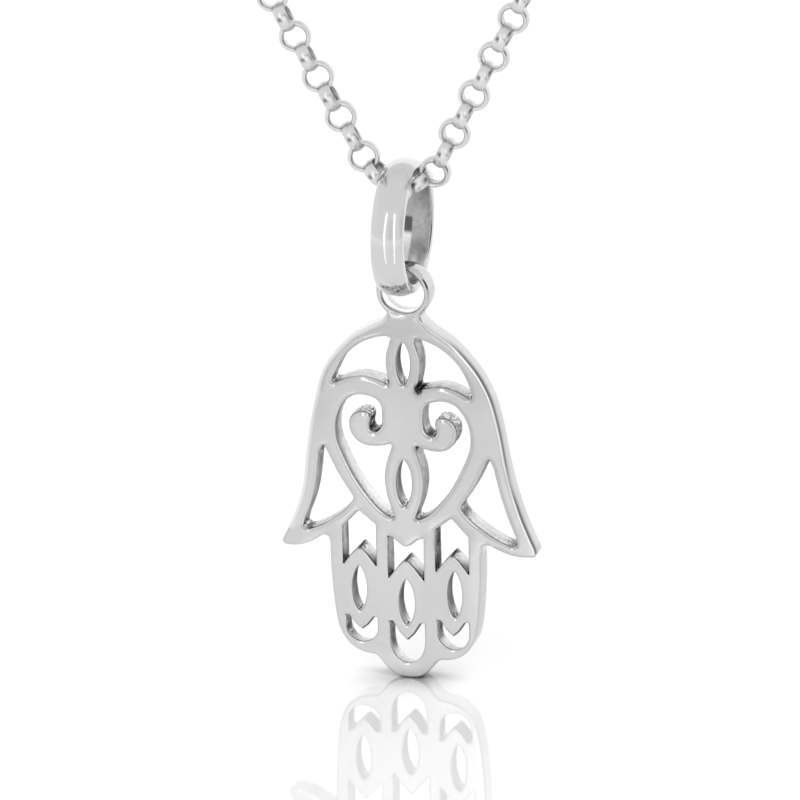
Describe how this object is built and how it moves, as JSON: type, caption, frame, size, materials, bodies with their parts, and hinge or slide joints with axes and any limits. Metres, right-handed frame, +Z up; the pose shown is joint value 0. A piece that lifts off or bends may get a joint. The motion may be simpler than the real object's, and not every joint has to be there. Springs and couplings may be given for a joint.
{
  "type": "hamsa pendant on a chain",
  "caption": "Pierced metal hand pendant with a heart and scrolls, hanging by its cast loop from a ring bail on a closed necklace chain of fine round links.",
  "frame": {"origin": "middle of the clasp, where the chain lies on the nape", "axes": "+Z up along the hang of the necklace, -Y the way the pendant faces, +X to the right of someone looking at its front"},
  "size_m": [0.1095, 0.1023, 0.1613],
  "materials": {
    "pendant_silver": "polished cast silver",
    "bail_silver": "polished silver, softly domed",
    "chain_silver": "polished silver links",
    "clasp_silver": "polished silver"
  },
  "bodies": {
    "necklace": {"chain": "chain_silver", "clasp": "clasp_silver"},
    "bail": {"bail": "bail_silver"},
    "pendant": {"hamsa": "pendant_silver"}
  },
  "joints": [
    {"name": "bail_swing", "type": "hinge", "parent": "necklace", "child": "bail", "pos_m": [0, -0.096, -0.125], "axis": [1, 0, 0], "range_deg": [-60, 60]},
    {"name": "pendant_swing", "type": "hinge", "parent": "bail", "child": "pendant", "pos_m": [0, -0.096, -0.13223], "axis": [0, 1, 0], "range_deg": [-60, 60]}
  ]
}
